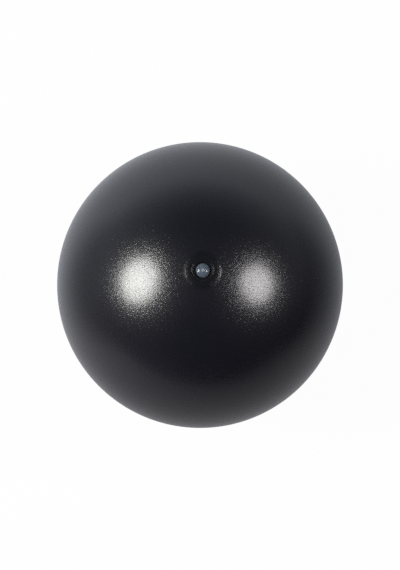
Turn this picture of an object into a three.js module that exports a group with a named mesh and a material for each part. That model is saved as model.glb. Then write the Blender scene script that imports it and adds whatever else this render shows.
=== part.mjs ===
// A soft inflatable pilates ball, 250 mm across, lying on a floor with its valve on top.
//
// Millimetres, +Z up. The origin is the middle of the flat patch that the ball rests on.
// Three moulded pieces are turned about one upright valve axis:
//   ball_skin   the hollow PVC skin, with a round hole over the valve
//   valve_seat  the bush welded under that hole: a flange, a dished nose and a tube with the bore
//   valve_plug  the push-in plug that closes the bore and pulls straight out

import * as THREE from "three";

// The ball
const BALL_RADIUS = 125;
const SKIN_WALL = 0.7;
const FLOOR_SAG = 0.5; // how far the ball's own weight flattens the skin on the floor

// The stiff disc that the flange makes of the skin round the valve
const DISC_DROP = 0.59; // below the height that the round ball would reach
const DISC_RADIUS = 13.5;
const DISC_STEP = 2; // radial width of the soft step from the disc down to the ball
const SKIN_HOLE_RADIUS = 9;

// The valve seat
const FIT_GAP = 0.15; // nose to skin, and plug to seat
const WELD_GAP = 0.1; // flange to skin
const DISH_RADIUS = 8.1; // top of the cone that leads down from the nose
const POCKET_RADIUS = 6.5; // the flat floor that the plug's head sits on
const POCKET_DEPTH = 1.8; // below the disc
const BORE_RADIUS = 3.5;
const BORE_LENGTH = 14;
const TUBE_RADIUS = 6.2;
const FLANGE_EDGE = 0.9; // thickness at the flange's outer edge
const WEB_THICKNESS = 1.5; // under the pocket floor, where the flange meets the tube
const WEB_ROUNDING = 1;
const LIP_ROUNDING = 0.2; // at the top of the dish
const SEAT_ROUNDING = 0.3; // at the other corners
const NOSE_ROUNDING = 0.15;

// The plug
const HEAD_RADIUS = 5.7;
const HEAD_RIM = 0.85; // height of the head's upright edge
const HEAD_ROUNDING = 0.25;
const DOME_RADIUS = 8.2; // the dome is a cap of a ball this size
const GATE_RADIUS = 1.65; // the raised mark of the moulding gate, at its foot
const GATE_TOP_RADIUS = 0.75;
const GATE_HEIGHT = 0.16;
const NECK_ROUNDING = 0.4; // where the shank widens into the head
const SHANK_RADIUS = 2.7;
const SHANK_LENGTH = 15.6; // from under the head to the tip
const TIP_RADIUS = 1.8;
const TIP_TAPER = 0.9; // height of the tapered tip
const BARB_COUNT = 3;
const BARB_PITCH = 3.9;
const BARB_RADIUS = 3.3;
const BARB_RISE = 1.9; // height over which a barb widens
const BARB_LAND = 0.25; // height of its widest part
const BARB_BACK = 0.2; // height over which it steps back in

// Facets round the axis, and steps along each profile
const BALL_SEGMENTS = 60;
const VALVE_SEGMENTS = 48;
const HALF_BALL_STEPS = 14;
const DISC_STEPS = 4;
const ROUNDING_STEPS = 2;
const DOME_STEPS = 6;
const GATE_STEPS = 4;

const CENTRE_Z = BALL_RADIUS - FLOOR_SAG;
const DISC_Z = CENTRE_Z + BALL_RADIUS - DISC_DROP;
const STEP_RADIUS = DISC_RADIUS + DISC_STEP;
const POCKET_Z = DISC_Z - POCKET_DEPTH;

const vinyl = new THREE.MeshStandardMaterial({ color: 0x1d1d21, roughness: 0.42, metalness: 0 });
const softVinyl = new THREE.MeshStandardMaterial({ color: 0x1a1a1e, roughness: 0.35, metalness: 0 });
const milkyPlastic = new THREE.MeshStandardMaterial({ color: 0x4b5662, roughness: 0.2, metalness: 0 });

const point = (radius, height) => new THREE.Vector2(radius, height);

// Evenly spaced values from start to end, both included.
function spaced(start, end, steps) {
  return Array.from({ length: steps + 1 }, (_, i) => start + ((end - start) * i) / steps);
}

// Rises from 0 to 1 as value goes from start to end, and is level at both.
function easeBetween(start, end, value) {
  const share = THREE.MathUtils.clamp((value - start) / (end - start), 0, 1);
  return share * share * (3 - 2 * share);
}

// A profile through corners [radius, height, rounding], with each corner cut by a curve.
function rounded(corners) {
  return corners.flatMap(([radius, height, rounding], i) => {
    const here = point(radius, height);
    if (rounding === 0) return [here];
    const back = point(...corners[i - 1]).sub(here).normalize();
    const ahead = point(...corners[i + 1]).sub(here).normalize();
    const reach = rounding / Math.tan(back.angleTo(ahead) / 2);
    const start = here.clone().addScaledVector(back, reach);
    const end = here.clone().addScaledVector(ahead, reach);
    return new THREE.QuadraticBezierCurve(start, here, end).getPoints(ROUNDING_STEPS);
  });
}

// Turns a closed profile, given as points (radius, height) with the solid on their left, about +Z.
function turned(name, profile, segments, material) {
  const geometry = new THREE.LatheGeometry(profile, segments);
  geometry.rotateX(Math.PI / 2);
  const mesh = new THREE.Mesh(geometry, material);
  mesh.name = name;
  return mesh;
}

// Height of the round ball's top at a distance from the valve axis.
const ballTop = (radius) => CENTRE_Z + Math.sqrt(BALL_RADIUS ** 2 - radius ** 2);

// Height of the skin's outside near the valve: the flat disc, then the soft step down to the ball.
function discTop(radius) {
  const fall = easeBetween(DISC_RADIUS, STEP_RADIUS, radius);
  return THREE.MathUtils.lerp(DISC_Z, ballTop(radius), fall);
}

// The round side of a ball of that radius, from a flat patch at that height up to the disc's step.
function ballSide(radius, patchZ) {
  const patchEdge = Math.acos((CENTRE_Z - patchZ) / radius);
  const equator = Math.PI / 2;
  const stepEdge = Math.PI - Math.asin(STEP_RADIUS / BALL_RADIUS);
  const lower = spaced(patchEdge, equator, HALF_BALL_STEPS);
  const upper = spaced(equator, stepEdge, HALF_BALL_STEPS).slice(1);
  return [...lower, ...upper].map((angle) =>
    point(radius * Math.sin(angle), CENTRE_Z - radius * Math.cos(angle)),
  );
}

// One face of the skin from the floor to the valve hole, that far inside the outer face.
function skinFace(inset) {
  const overStep = spaced(STEP_RADIUS, DISC_RADIUS, DISC_STEPS).slice(1);
  return [
    point(0, inset),
    ...ballSide(BALL_RADIUS - inset, inset),
    ...[...overStep, SKIN_HOLE_RADIUS].map((radius) => point(radius, discTop(radius) - inset)),
  ];
}

function ballSkin() {
  const profile = [...skinFace(0), ...skinFace(SKIN_WALL).reverse()];
  return turned("ball_skin", profile, BALL_SEGMENTS, vinyl);
}

function valveSeat() {
  const tubeZ = POCKET_Z - BORE_LENGTH;
  const flangeTop = DISC_Z - SKIN_WALL - WELD_GAP;
  const flangeRadius = DISC_RADIUS - FIT_GAP;
  const noseRadius = SKIN_HOLE_RADIUS - FIT_GAP;
  const profile = rounded([
    [BORE_RADIUS, tubeZ, 0],
    [TUBE_RADIUS, tubeZ, SEAT_ROUNDING],
    [TUBE_RADIUS, POCKET_Z - WEB_THICKNESS, WEB_ROUNDING],
    [flangeRadius, flangeTop - FLANGE_EDGE, SEAT_ROUNDING],
    [flangeRadius, flangeTop, 0],
    [noseRadius, flangeTop, 0],
    [noseRadius, DISC_Z, NOSE_ROUNDING],
    [DISH_RADIUS, DISC_Z, LIP_ROUNDING],
    [POCKET_RADIUS, POCKET_Z, SEAT_ROUNDING],
    [BORE_RADIUS, POCKET_Z, SEAT_ROUNDING],
    [BORE_RADIUS, tubeZ, 0],
  ]);
  return turned("valve_seat", profile, VALVE_SEGMENTS, softVinyl);
}

// One barb, which widens going up from that height and then steps back in.
function barb(startZ) {
  const wideZ = startZ + BARB_RISE;
  return [
    [SHANK_RADIUS, startZ, 0],
    [BARB_RADIUS, wideZ, 0],
    [BARB_RADIUS, wideZ + BARB_LAND, 0],
    [SHANK_RADIUS, wideZ + BARB_LAND + BARB_BACK, 0],
  ];
}

// The head's domed top from near its edge in to the middle, where the gate mark is.
function domedTop(rimZ) {
  const centreZ = rimZ - Math.sqrt(DOME_RADIUS ** 2 - HEAD_RADIUS ** 2);
  const dome = spaced(HEAD_RADIUS - 2 * HEAD_ROUNDING, GATE_RADIUS, DOME_STEPS);
  const gate = spaced(GATE_RADIUS, GATE_TOP_RADIUS, GATE_STEPS).slice(1);
  return [...dome, ...gate, 0].map((radius) => {
    const domeZ = centreZ + Math.sqrt(DOME_RADIUS ** 2 - radius ** 2);
    return [radius, domeZ + GATE_HEIGHT * easeBetween(GATE_RADIUS, GATE_TOP_RADIUS, radius), 0];
  });
}

function valvePlug() {
  const headZ = POCKET_Z + FIT_GAP;
  const rimZ = headZ + HEAD_RIM;
  const tipZ = headZ - SHANK_LENGTH;
  const barbs = Array.from({ length: BARB_COUNT }, (_, i) => barb(tipZ + TIP_TAPER + i * BARB_PITCH));
  const profile = rounded([
    [0, tipZ, 0],
    [TIP_RADIUS, tipZ, 0],
    ...barbs.flat(),
    [SHANK_RADIUS, headZ, NECK_ROUNDING],
    [HEAD_RADIUS, headZ, HEAD_ROUNDING],
    [HEAD_RADIUS, rimZ, HEAD_ROUNDING],
    ...domedTop(rimZ),
  ]);
  return turned("valve_plug", profile, VALVE_SEGMENTS, milkyPlastic);
}

const ball = new THREE.Group();
ball.add(ballSkin(), valveSeat(), valvePlug());

export default ball;
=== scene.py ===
"""A soft inflatable pilates ball on a pale floor, seen from nearly above its valve.

Metres, +Z up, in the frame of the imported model: the ball rests on z = 0 and its valve is on top.
"""

import math

import bpy
from mathutils import Matrix, Vector


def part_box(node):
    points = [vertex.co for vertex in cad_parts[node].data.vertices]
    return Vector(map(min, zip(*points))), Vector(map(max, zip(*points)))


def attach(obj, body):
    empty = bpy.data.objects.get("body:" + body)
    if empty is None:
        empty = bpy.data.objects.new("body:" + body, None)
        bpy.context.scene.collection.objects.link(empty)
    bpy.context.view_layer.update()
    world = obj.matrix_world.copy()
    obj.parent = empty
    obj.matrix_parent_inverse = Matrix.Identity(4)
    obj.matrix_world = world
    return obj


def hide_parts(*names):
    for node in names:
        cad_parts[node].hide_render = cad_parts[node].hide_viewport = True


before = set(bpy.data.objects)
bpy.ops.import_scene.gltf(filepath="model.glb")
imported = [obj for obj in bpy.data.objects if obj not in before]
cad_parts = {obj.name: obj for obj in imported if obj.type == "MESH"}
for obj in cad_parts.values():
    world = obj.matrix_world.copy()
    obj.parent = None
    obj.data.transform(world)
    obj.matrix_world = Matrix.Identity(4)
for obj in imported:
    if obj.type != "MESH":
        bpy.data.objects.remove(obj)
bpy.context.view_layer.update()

MM = 0.001

# The ball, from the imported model
skin_low, skin_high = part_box("ball_skin")
seat_low, seat_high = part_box("valve_seat")
plug_low, plug_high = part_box("valve_plug")
OUTER_RADIUS = (skin_high.x - skin_low.x) / 2
FLOOR_SAG = 0.5 * MM  # how far the ball's own weight flattens the skin on the floor
CENTRE_Z = OUTER_RADIUS - FLOOR_SAG
SKIN_WALL = 0.7 * MM

# The raised line that the two halves of the mould leave round the middle of the ball.
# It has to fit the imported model's box, so the ball itself is smaller by the line's height.
SEAM_HEIGHT = 0.08 * MM
SEAM_HALF_WIDTH = 0.45 * MM
SEAM_REACH = 1.2 * SEAM_HALF_WIDTH  # its points go that far up and down from the middle
SEAM_CLEARANCE = 1.5 * SEAM_HALF_WIDTH  # and the round side's own points stay that far away
BALL_RADIUS = OUTER_RADIUS - SEAM_HEIGHT
PACKED_DISC_Z = skin_high.z - SEAM_HEIGHT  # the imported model's disc, lowered with the ball's top

# The skin round the valve: a flat disc, an edge that steepens evenly, and a foot that eases into the
# ball. The disc stands about 0.5 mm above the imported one, and the seat's nose rises with it.
DISC_RADIUS = 9.4 * MM
EDGE_RADIUS = 14.9 * MM  # where the edge is steepest
EDGE_EXTRA_SLOPE = 0.152  # its slope there, over the round ball's own
FOOT_RADIUS = 18.9 * MM
HOLE_RADIUS = 9 * MM
HOLE_LIP = 0.3 * MM

# The valve seat
FIT_GAP = 0.15 * MM  # nose to skin, and plug to seat
WELD_GAP = 0.1 * MM  # flange to skin
FLANGE_RADIUS = seat_high.x
FLANGE_EDGE = 0.9 * MM
FLANGE_TOP = PACKED_DISC_Z - SKIN_WALL - WELD_GAP
NOSE_RADIUS = HOLE_RADIUS - FIT_GAP
DISH_RADIUS = 8.1 * MM
POCKET_RADIUS = 6.5 * MM
POCKET_DEPTH = 1.8 * MM
POCKET_Z = PACKED_DISC_Z - POCKET_DEPTH
BORE_RADIUS = 3.5 * MM
TUBE_RADIUS = 6.2 * MM
WEB_THICKNESS = 1.5 * MM
NOSE_ROUNDING = 0.15 * MM
LIP_ROUNDING = 0.2 * MM
POCKET_ROUNDING = 0.3 * MM
FLANGE_ROUNDING = 0.4 * MM
TUBE_ROUNDING = 0.5 * MM
WEB_ROUNDING = 1 * MM

# The plug
HEAD_RADIUS = plug_high.x
HEAD_Z = POCKET_Z + FIT_GAP
HEAD_RIM = 0.85 * MM  # height of the head's upright edge
RIM_Z = HEAD_Z + HEAD_RIM
HEAD_ROUNDING = 0.25 * MM
RIM_ROUNDING = 0.3 * MM
DOME_HEIGHT = 2.3 * MM
DOME_POWER = 2.5  # 2 is a plain dome, and more is a fuller one
DOME_INSET = 0.5 * MM  # where its points start, clear of the rim's rounding
GATE_RADIUS = 1.65 * MM  # the raised mark of the moulding gate, at its foot
GATE_TOP_RADIUS = 0.75 * MM
GATE_HEIGHT = 0.16 * MM
NECK_ROUNDING = 0.4 * MM
SHANK_RADIUS = 2.7 * MM
TIP_RADIUS = 1.8 * MM
TIP_TAPER = 0.9 * MM
TIP_ROUNDING = 0.3 * MM
BARB_COUNT = 3
BARB_PITCH = 3.9 * MM
BARB_RADIUS = 3.3 * MM
BARB_RISE = 1.9 * MM  # height over which a barb widens
BARB_LAND = 0.25 * MM  # height of its widest part
BARB_BACK = 0.2 * MM  # height over which it steps back in
BARB_FOOT_ROUNDING = 0.15 * MM
BARB_ROUNDING = 0.1 * MM
BARB_BACK_ROUNDING = 0.06 * MM

# Faces round the valve axis, and steps along the outlines
SKIN_SEGMENTS = 256
VALVE_SEGMENTS = 160
OUTSIDE_STEPS = 120
INSIDE_STEPS = 40
EDGE_STEPS = 48
INSIDE_EDGE_STEPS = 12
SEAM_STEPS = 12
DOME_STEPS = 18
GATE_STEPS = 12
ROUNDING_STEPS = 5

# Linear colours. Each piece's own colour drifts between two of them.
SKIN_COLOURS = (0.0043, 0.0045, 0.0086), (0.0055, 0.0057, 0.0104)
# Painted shade: a darker skin colour round the valve, standing in for less reflected haze there.
SKIN_PAINTED_SHADE_NEAR_VALVE = (0.0019, 0.0023, 0.0050)
SEAT_COLOURS = (0.0066, 0.0068, 0.0092), (0.0088, 0.0090, 0.0118)
PLUG_COLOURS = (0.076, 0.099, 0.129), (0.093, 0.118, 0.151)
# Paler plastic at the gate mark, partly a painted highlight.
GATE_PALE_AND_PAINTED_HIGHLIGHT = (0.24, 0.27, 0.30)
WHITE = (1, 1, 1)
FLOOR_GREY = (0.8, 0.8, 0.8, 1)
STUDIO_BOTTOM = (0.995, 0.985, 1.06)
STUDIO_TOP = (0.95, 0.995, 1.08)

# The grain. A noise texture's values seldom leave its range.
NOISE_RANGE = (0.3, 0.7)
LUMP_POWER = 4  # the higher, the narrower the skin's lumps

# The camera. Angles in degrees, pixels in the 400 by 570 picture.
PICTURE_HEIGHT = 570
BALL_RADIUS_PIXELS = 142.94
CAMERA_DISTANCE = 1.8
VALVE_TILT = 5.64
VALVE_HEADING = 10.7
SENSOR = 36  # millimetres, as is the lens

# The studio. Its levels are shares of full white.
LAMP_DISTANCE = 1.6
FLOOR_REACH = 15
FLOOR_GLOW = 0.97  # the rest of the floor's look is lit by the lamps, and has the ball's shadow
FOOT_DISTANCE = 0.1  # the floor's unevenness fades out about this near to where the ball rests
PAINTED_CARD_LEVEL = 0.09
PAINTED_CARD_WAY = (0.707, -0.707)  # painted reflection of a pale card at the picture's bottom right, in the floor's glow; no card is built


def ease(share):
    """Rises from 0 to 1 with a share, and is level at both ends."""
    share = min(max(share, 0), 1)
    return share * share * (3 - 2 * share)


def spaced(start, end, steps):
    """Evenly spaced values from start to end, both included."""
    return [start + (end - start) * i / steps for i in range(steps + 1)]


def rounded(corners):
    """A closed outline through corners (radius, height, rounding), with each corner cut by a curve."""
    outline = []
    for i, (radius, height, rounding) in enumerate(corners):
        here = Vector((radius, height))
        if not rounding:
            outline.append(here)
            continue
        back = (Vector(corners[i - 1][:2]) - here).normalized()
        ahead = (Vector(corners[(i + 1) % len(corners)][:2]) - here).normalized()
        reach = rounding / math.tan(back.angle(ahead) / 2)
        start, end = here + back * reach, here + ahead * reach
        for t in spaced(0, 1, ROUNDING_STEPS):
            outline.append(start * (1 - t) ** 2 + here * 2 * t * (1 - t) + end * t**2)
    return outline


def turned(name, outline, segments):
    """Turns a closed outline of (radius, height) points about the valve axis into one smooth piece."""
    angles = [2 * math.pi * j / segments for j in range(segments)]
    vertices, rings = [], []
    for radius, height in outline:
        if radius == 0:
            rings.append([len(vertices)] * segments)
            vertices.append((0, 0, height))
        else:
            rings.append(list(range(len(vertices), len(vertices) + segments)))
            vertices += [(radius * math.cos(a), radius * math.sin(a), height) for a in angles]
    faces = []
    for lower, upper in zip(rings, rings[1:] + rings[:1]):
        for j in range(segments):
            k = (j + 1) % segments
            corners = [lower[j], lower[k], upper[k], upper[j]]
            face = list(dict.fromkeys(corners))
            if len(face) > 2:
                faces.append(face)
    mesh = bpy.data.meshes.new(name)
    mesh.from_pydata(vertices, [], faces)
    mesh.validate()
    mesh.shade_smooth()
    piece = bpy.data.objects.new(name, mesh)
    bpy.context.scene.collection.objects.link(piece)
    return piece


def ball_top(radius):
    """The round ball's height at a distance from the valve axis."""
    return CENTRE_Z + math.sqrt(BALL_RADIUS**2 - radius**2)


def disc_top(radius):
    """The skin's height near the valve, as far as the end of the foot."""
    foot = FOOT_RADIUS - EDGE_RADIUS
    foot_height = EDGE_EXTRA_SLOPE * foot / 4
    if radius >= EDGE_RADIUS:
        return ball_top(radius) + foot_height * ((FOOT_RADIUS - radius) / foot) ** 4
    width = EDGE_RADIUS - DISC_RADIUS
    edge_slope = EDGE_RADIUS / math.sqrt(BALL_RADIUS**2 - EDGE_RADIUS**2) + EDGE_EXTRA_SLOPE
    share = max(radius - DISC_RADIUS, 0) / width
    return ball_top(EDGE_RADIUS) + foot_height + edge_slope * width / 2 * (1 - share**2)


DISC_Z = disc_top(0)


def over_edge(start, end, steps, inset):
    """The disc's edge and foot between two distances from the valve axis, that far inside the skin."""
    return [Vector((r, disc_top(r) - inset)) for r in spaced(start, end, steps)]


def round_side(radius, patch_z, steps):
    """The round side from the flat patch on the floor up to the disc's foot."""
    patch_edge = math.acos((CENTRE_Z - patch_z) / radius)
    foot_edge = math.pi - math.asin(FOOT_RADIUS / BALL_RADIUS)
    return [
        Vector((radius * math.sin(a), CENTRE_Z - radius * math.cos(a)))
        for a in spaced(patch_edge, foot_edge, steps)
    ]


def with_seam(points):
    """Adds the raised mould line to an outline's points where they pass the ball's middle."""
    below = [p for p in points if p.y < CENTRE_Z - SEAM_CLEARANCE]
    above = [p for p in points if p.y > CENTRE_Z + SEAM_CLEARANCE]
    seam = []
    for offset in spaced(-SEAM_REACH, SEAM_REACH, SEAM_STEPS):
        height = SEAM_HEIGHT * ease(1 - abs(offset) / SEAM_HALF_WIDTH)
        seam.append(Vector((BALL_RADIUS + height, CENTRE_Z + offset)))
    return below + seam + above


def make_skin():
    outside = with_seam(round_side(BALL_RADIUS, 0, OUTSIDE_STEPS))
    edge = over_edge(FOOT_RADIUS, DISC_RADIUS, EDGE_STEPS, 0)[1:]
    hole = rounded([
        (DISC_RADIUS, DISC_Z, 0),
        (HOLE_RADIUS, DISC_Z, HOLE_LIP),
        (HOLE_RADIUS, DISC_Z - SKIN_WALL, 0),
    ])[1:]
    inside_edge = over_edge(DISC_RADIUS, FOOT_RADIUS, INSIDE_EDGE_STEPS, SKIN_WALL)[:-1]
    inside = round_side(BALL_RADIUS - SKIN_WALL, SKIN_WALL, INSIDE_STEPS)[::-1]
    patch = [Vector((0, SKIN_WALL)), Vector((0, 0))]
    outline = outside + edge + hole + inside_edge + inside + patch
    return turned("ball_skin_shell", outline, SKIN_SEGMENTS)


def make_seat():
    tube_z = seat_low.z
    outline = rounded([
        (BORE_RADIUS, tube_z, LIP_ROUNDING),
        (TUBE_RADIUS, tube_z, TUBE_ROUNDING),
        (TUBE_RADIUS, POCKET_Z - WEB_THICKNESS, WEB_ROUNDING),
        (FLANGE_RADIUS, FLANGE_TOP - FLANGE_EDGE, FLANGE_ROUNDING),
        (FLANGE_RADIUS, FLANGE_TOP, NOSE_ROUNDING),
        (NOSE_RADIUS, FLANGE_TOP, 0),
        (NOSE_RADIUS, DISC_Z, NOSE_ROUNDING),
        (DISH_RADIUS, DISC_Z, LIP_ROUNDING),
        (POCKET_RADIUS, POCKET_Z, POCKET_ROUNDING),
        (BORE_RADIUS, POCKET_Z, POCKET_ROUNDING),
    ])
    return turned("valve_seat_bush", outline, VALVE_SEGMENTS)


def barb(start):
    """One barb's corners. It widens going up from that height and then steps back in."""
    land = start + BARB_RISE
    back = land + BARB_LAND
    return [
        (SHANK_RADIUS, start, BARB_FOOT_ROUNDING),
        (BARB_RADIUS, land, BARB_ROUNDING),
        (BARB_RADIUS, back, BARB_BACK_ROUNDING),
        (SHANK_RADIUS, back + BARB_BACK, BARB_BACK_ROUNDING),
    ]


def dome_top(radius):
    """Height of the plug's dome, without the gate mark."""
    return RIM_Z + DOME_HEIGHT * (1 - (radius / HEAD_RADIUS) ** DOME_POWER)


def make_plug():
    tip_z = plug_low.z
    shank = [(0, tip_z, 0), (TIP_RADIUS, tip_z, TIP_ROUNDING)]
    for i in range(BARB_COUNT):
        shank += barb(tip_z + TIP_TAPER + i * BARB_PITCH)
    top = [(r, dome_top(r), 0) for r in spaced(HEAD_RADIUS - DOME_INSET, GATE_RADIUS, DOME_STEPS)]
    for r in [*spaced(GATE_RADIUS, GATE_TOP_RADIUS, GATE_STEPS)[1:], 0]:
        rise = ease((GATE_RADIUS - r) / (GATE_RADIUS - GATE_TOP_RADIUS))
        top.append((r, dome_top(r) + GATE_HEIGHT * rise, 0))
    outline = rounded([
        *shank,
        (SHANK_RADIUS, HEAD_Z, NECK_ROUNDING),
        (HEAD_RADIUS, HEAD_Z, HEAD_ROUNDING),
        (HEAD_RADIUS, RIM_Z, RIM_ROUNDING),
        *top,
    ])
    return turned("valve_plug_moulding", outline, VALVE_SEGMENTS)


def new_material(name, **values):
    """A material, its node tree, and its Principled shader, whose sockets have those values."""
    material = bpy.data.materials.new(name)
    material.use_nodes = True
    shader = material.node_tree.nodes["Principled BSDF"]
    for socket, value in values.items():
        shader.inputs[socket.replace("_", " ")].default_value = value
    return material, material.node_tree, shader


def object_position(tree):
    return tree.nodes.new("ShaderNodeTexCoord").outputs["Object"]


def noise(tree, place, size, detail):
    """Noise whose lumps are about that size across."""
    node = tree.nodes.new("ShaderNodeTexNoise")
    node.inputs["Scale"].default_value = 1 / size
    node.inputs["Detail"].default_value = detail
    tree.links.new(place, node.inputs["Vector"])
    return node.outputs["Fac"]


def ramp(tree, value, source, target, interpolation="LINEAR"):
    """Maps a value from the source range (low, high) to the target range."""
    node = tree.nodes.new("ShaderNodeMapRange")
    node.interpolation_type = interpolation
    node.inputs["From Min"].default_value, node.inputs["From Max"].default_value = source
    node.inputs["To Min"].default_value, node.inputs["To Max"].default_value = target
    tree.links.new(value, node.inputs["Value"])
    return node.outputs["Result"]


def maths(tree, operation, *values):
    """One sum, product or the like, of values that are numbers or sockets."""
    node = tree.nodes.new("ShaderNodeMath")
    node.operation = operation
    for socket, value in zip(node.inputs, values):
        if isinstance(value, (int, float)):
            socket.default_value = value
        else:
            tree.links.new(value, socket)
    return node.outputs[0]


def blended(tree, share, first, second):
    """A colour between two, which are colours or sockets, by a share that is a socket."""
    node = tree.nodes.new("ShaderNodeMix")
    node.data_type = "RGBA"
    tree.links.new(share, node.inputs[0])
    colour_sockets = node.inputs[6:8]
    for socket, colour in zip(colour_sockets, (first, second)):
        if isinstance(colour, tuple):
            socket.default_value = (*colour, 1)
        else:
            tree.links.new(colour, socket)
    return node.outputs[2]


def bump(tree, height, depth):
    """A normal that follows a height, where a height of 1 stands up by that depth."""
    node = tree.nodes.new("ShaderNodeBump")
    node.inputs["Strength"].default_value = 1
    node.inputs["Distance"].default_value = depth
    tree.links.new(height, node.inputs["Height"])
    return node.outputs["Normal"]


def near_axis_point(tree, place, height, inner, outer):
    """A share that falls from 1 to 0 with the distance from a point of the valve axis."""
    distance = tree.nodes.new("ShaderNodeVectorMath")
    distance.operation = "DISTANCE"
    distance.inputs[1].default_value = (0, 0, height)
    tree.links.new(place, distance.inputs[0])
    return ramp(tree, distance.outputs["Value"], (inner, outer), (1, 0))


def skin_material():
    """Black PVC with a fine even grain under a thin haze, darkened round the valve by painted shade."""
    material, tree, shader = new_material(
        "skin_pvc", IOR=1.62, Coat_Weight=0.3, Coat_Roughness=0.42, Coat_IOR=1.5
    )
    place = object_position(tree)
    colour = blended(tree, noise(tree, place, size=22 * MM, detail=3), *SKIN_COLOURS)
    # Painted shade: the skin's colour is darkened round the valve, standing in for less reflected haze
    # there.
    painted_shade_near_valve = near_axis_point(tree, place, DISC_Z, inner=13.5 * MM, outer=17.5 * MM)
    colour = blended(tree, painted_shade_near_valve, colour, SKIN_PAINTED_SHADE_NEAR_VALVE)
    tree.links.new(colour, shader.inputs["Base Color"])
    dull_spots = noise(tree, place, size=0.9 * MM, detail=1)
    roughness = ramp(tree, dull_spots, NOISE_RANGE, (0.10, 0.27))
    tree.links.new(roughness, shader.inputs["Roughness"])
    lumps = maths(tree, "POWER", noise(tree, place, size=0.7 * MM, detail=0), LUMP_POWER)
    tree.links.new(bump(tree, lumps, depth=0.131 * MM), shader.inputs["Normal"])
    return material


def seat_material():
    """Black soft PVC, duller than the skin and with a finer, flatter grain."""
    material, tree, shader = new_material("seat_pvc", IOR=1.45)
    place = object_position(tree)
    clouds = noise(tree, place, size=3 * MM, detail=2)
    tree.links.new(blended(tree, clouds, *SEAT_COLOURS), shader.inputs["Base Color"])
    roughness = ramp(tree, clouds, NOISE_RANGE, (0.28, 0.40))
    tree.links.new(roughness, shader.inputs["Roughness"])
    grain = noise(tree, place, size=0.5 * MM, detail=2)
    tree.links.new(bump(tree, grain, depth=0.012 * MM), shader.inputs["Normal"])
    return material


def plug_material():
    """Milky blue-grey plastic, glossy, and paler at the gate mark, partly as a painted highlight."""
    material, tree, shader = new_material(
        "plug_plastic",
        IOR=1.46,
        Subsurface_Weight=0.3,
        Subsurface_Scale=1 * MM,
        Subsurface_Radius=(1, 1, 1),
    )
    place = object_position(tree)
    clouds = noise(tree, place, size=2.5 * MM, detail=2)
    colour = blended(tree, clouds, *PLUG_COLOURS)
    # The gate mark is paler plastic, partly a painted highlight that stands in for its glints.
    on_gate = near_axis_point(tree, place, RIM_Z + DOME_HEIGHT, inner=1.1 * MM, outer=1.5 * MM)
    colour = blended(tree, on_gate, colour, GATE_PALE_AND_PAINTED_HIGHLIGHT)
    tree.links.new(colour, shader.inputs["Base Color"])
    roughness = ramp(tree, clouds, NOISE_RANGE, (0.06, 0.09))
    tree.links.new(roughness, shader.inputs["Roughness"])
    grain = noise(tree, place, size=0.8 * MM, detail=1)
    tree.links.new(bump(tree, grain, depth=0.0015 * MM), shader.inputs["Normal"])
    return material


def dress(piece, node, body, material):
    """Gives a piece its material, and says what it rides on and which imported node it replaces."""
    piece.data.materials.append(material)
    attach(piece, body)
    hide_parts(node)


dress(make_skin(), "ball_skin", "ball", skin_material())
dress(make_seat(), "valve_seat", "ball", seat_material())
dress(make_plug(), "valve_plug", "plug", plug_material())


# The camera stands above the ball, a little to the bottom left of the valve axis in the picture.
tilt, heading = math.radians(VALVE_TILT), math.radians(VALVE_HEADING)
to_camera = Vector((
    -math.sin(tilt) * math.sin(heading),
    -math.sin(tilt) * math.cos(heading),
    math.cos(tilt),
))
picture_up = (Vector((0, 1, 0)) - to_camera * to_camera.y).normalized()
picture_right = picture_up.cross(to_camera)
ball_centre = Vector((0, 0, CENTRE_Z))


def facing(right, up, back, place):
    """A matrix with those axes, standing at that place."""
    turn = Matrix((right, up, back)).transposed()
    return Matrix.Translation(place) @ turn.to_4x4()


def make_camera():
    """A camera whose picture shows the ball's outline with the radius that the photo has."""
    data = bpy.data.cameras.new("camera")
    outline_distance = math.sqrt(CAMERA_DISTANCE**2 - BALL_RADIUS**2)
    pixels_per_unit = BALL_RADIUS_PIXELS * outline_distance / BALL_RADIUS
    data.sensor_width = SENSOR
    data.lens = pixels_per_unit * SENSOR / PICTURE_HEIGHT
    camera = bpy.data.objects.new("camera", data)
    camera.matrix_world = facing(
        picture_right, picture_up, to_camera, ball_centre + to_camera * CAMERA_DISTANCE
    )
    bpy.context.scene.collection.objects.link(camera)
    bpy.context.scene.camera = camera


def softbox(name, right, up, width, height, roll, watts, colour):
    """A round lamp seen from the ball at those angles from the camera, with its size in degrees."""
    across, rise = math.radians(right), math.radians(up)
    direction = (
        picture_right * math.sin(across) * math.cos(rise)
        + picture_up * math.sin(rise)
        + to_camera * math.cos(across) * math.cos(rise)
    )
    side = picture_up.cross(direction).normalized()
    data = bpy.data.lights.new(name, "AREA")
    data.shape = "ELLIPSE"
    data.size = 2 * LAMP_DISTANCE * math.tan(math.radians(width) / 2)
    data.size_y = 2 * LAMP_DISTANCE * math.tan(math.radians(height) / 2)
    data.energy = watts
    data.color = colour
    lamp = bpy.data.objects.new(name, data)
    place = ball_centre + direction * LAMP_DISTANCE
    upright = facing(side, direction.cross(side), direction, place)
    lamp.matrix_world = upright @ Matrix.Rotation(math.radians(roll), 4, "Z")
    bpy.context.scene.collection.objects.link(lamp)


def axes(tree, way):
    """A direction's parts along X, Y and Z, by these names."""
    node = tree.nodes.new("ShaderNodeSeparateXYZ")
    tree.links.new(way, node.inputs[0])
    return node.outputs


def sideways(tree, way, middle, to_right, to_top):
    """A level that changes with a direction, along +X and along +Y."""
    parts = axes(tree, way)
    across = maths(tree, "MULTIPLY_ADD", parts["X"], to_right, middle)
    return maths(tree, "MULTIPLY_ADD", parts["Y"], to_top, across)


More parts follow.
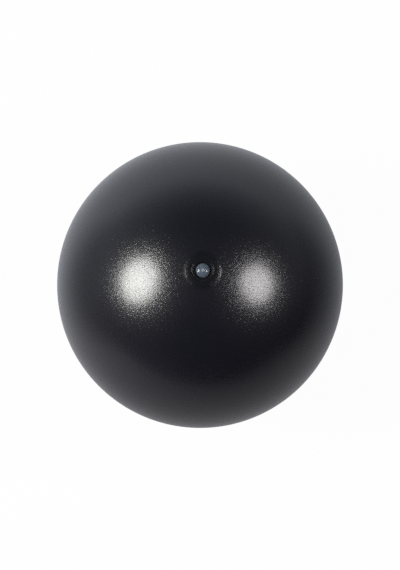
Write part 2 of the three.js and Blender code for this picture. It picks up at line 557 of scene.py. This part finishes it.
def with_flags(tree, way, level, depths, edge):
    """A level less a shade at both ends of X, as dark flags there would cast; no flags are built.

    The shade sets in over the range edge of X and -X, and depths are how dark it gets at -X and +X.
    """
    across = axes(tree, way)["X"]
    share = ramp(tree, maths(tree, "ABSOLUTE", across), edge, (0, 1), "SMOOTHSTEP")
    depth = ramp(tree, across, (-1, 1), depths)
    shade = maths(tree, "MULTIPLY", share, depth)
    return maths(tree, "MAXIMUM", maths(tree, "SUBTRACT", level, shade), 0)


def studio_tint(tree, way):
    """The studio's own colour, bluish at the picture's top and more neutral at its bottom."""
    share = ramp(tree, axes(tree, way)["Y"], (-0.6, 0.6), (0, 1))
    return blended(tree, share, STUDIO_BOTTOM, STUDIO_TOP)


def floor_reflection(tree):
    """The floor's level and colour where the skin mirrors it, a painted reflection that changes with the
    way to it.
    """
    place = object_position(tree)
    distance = tree.nodes.new("ShaderNodeVectorMath")
    distance.operation = "LENGTH"
    tree.links.new(place, distance.inputs[0])
    softened = maths(tree, "ADD", distance.outputs["Value"], FOOT_DISTANCE)
    nearness = maths(tree, "DIVIDE", 1, softened)
    scaled = tree.nodes.new("ShaderNodeVectorMath")
    scaled.operation = "SCALE"
    tree.links.new(place, scaled.inputs[0])
    tree.links.new(nearness, scaled.inputs["Scale"])
    way = scaled.outputs[0]

    level = sideways(tree, way, middle=0.41, to_right=-0.225, to_top=0.22)
    # Painted reflection: the floor's glow is raised toward a pale card that is not built.
    toward_painted_card = maths(tree, "MAXIMUM", sideways(tree, way, 0, *PAINTED_CARD_WAY), 0)
    painted_card = maths(tree, "MULTIPLY", maths(tree, "MULTIPLY", toward_painted_card, toward_painted_card), nearness)
    level = maths(tree, "MULTIPLY_ADD", painted_card, PAINTED_CARD_LEVEL, level)
    level = with_flags(tree, way, level, depths=(0.40, 0.15), edge=(0.68, 0.90))
    return level, studio_tint(tree, way)


def make_floor():
    """A wide floor, white to the camera with the ball's shadow, and uneven where the skin mirrors it."""
    mesh = bpy.data.meshes.new("floor")
    reach = FLOOR_REACH
    corners = [(-reach, -reach, 0), (reach, -reach, 0), (reach, reach, 0), (-reach, reach, 0)]
    mesh.from_pydata(corners, [], [(0, 1, 2, 3)])
    floor = bpy.data.objects.new("floor", mesh)
    bpy.context.scene.collection.objects.link(floor)

    material, tree, lit = new_material(
        "pale_floor", Base_Color=FLOOR_GREY, Roughness=0.9, Specular_IOR_Level=0.2
    )
    ray = tree.nodes.new("ShaderNodeLightPath").outputs
    # The glow is plain white, apart from where a glossy surface mirrors it, which sees a painted
    # reflection of a studio.
    level, tint = floor_reflection(tree)
    strength = tree.nodes.new("ShaderNodeMix")
    factor, plain_white, mirrored = strength.inputs[0], strength.inputs[2], strength.inputs[3]
    tree.links.new(ray["Is Glossy Ray"], factor)
    plain_white.default_value = 1
    tree.links.new(level, mirrored)
    glow = tree.nodes.new("ShaderNodeEmission")
    tree.links.new(strength.outputs[0], glow.inputs["Strength"])
    tree.links.new(blended(tree, ray["Is Glossy Ray"], WHITE, tint), glow.inputs["Color"])

    # Only the rays that show a surface see the glow, so it puts no diffuse light on the ball.
    seen = maths(tree, "MAXIMUM", ray["Is Camera Ray"], ray["Is Glossy Ray"])
    seen = maths(tree, "MAXIMUM", seen, ray["Is Transmission Ray"])
    surface = tree.nodes.new("ShaderNodeMixShader")
    tree.links.new(maths(tree, "MULTIPLY", seen, FLOOR_GLOW), surface.inputs[0])
    tree.links.new(lit.outputs[0], surface.inputs[1])
    tree.links.new(glow.outputs[0], surface.inputs[2])
    tree.links.new(surface.outputs[0], tree.nodes["Material Output"].inputs["Surface"])
    mesh.materials.append(material)


def make_world():
    """A studio that is dark above and paler toward the floor, most beyond the picture's top left."""
    world = bpy.data.worlds.new("studio")
    world.use_nodes = True
    tree = world.node_tree
    background = tree.nodes["Background"]
    way = tree.nodes.new("ShaderNodeTexCoord").outputs["Generated"]
    low = ramp(tree, axes(tree, way)["Z"], (0, 0.8), (1, 0))
    low = maths(tree, "MULTIPLY", low, low)
    pale = sideways(tree, way, middle=0.31, to_right=-0.11, to_top=0.29)
    pale = with_flags(tree, way, pale, depths=(0.22, 0.12), edge=(0.4, 1))
    above = sideways(tree, way, middle=0.035, to_right=0, to_top=0.01)
    level = maths(tree, "MULTIPLY_ADD", low, pale, above)
    # To the camera the studio is plain white.
    seen = tree.nodes.new("ShaderNodeLightPath").outputs["Is Camera Ray"]
    tree.links.new(maths(tree, "MAXIMUM", level, seen), background.inputs["Strength"])
    colour = blended(tree, seen, studio_tint(tree, way), WHITE)
    tree.links.new(colour, background.inputs["Color"])
    bpy.context.scene.world = world


make_camera()
make_floor()
make_world()
softbox(
    "left_softbox",
    right=-47.3,
    up=3,
    width=28.2,
    height=31.8,
    roll=-43,
    watts=27,
    colour=(1, 1, 0.965),
)
softbox(
    "right_softbox",
    right=43.9,
    up=0.7,
    width=25,
    height=26.5,
    roll=20,
    watts=12.4,
    colour=(1.02, 0.99, 0.985),
)

bpy.context.scene.view_settings.view_transform = "Standard"
# The skin's grain is as fine as a pixel, and a denoiser would take it for noise and smooth it away.
bpy.context.scene.cycles.use_denoising = False
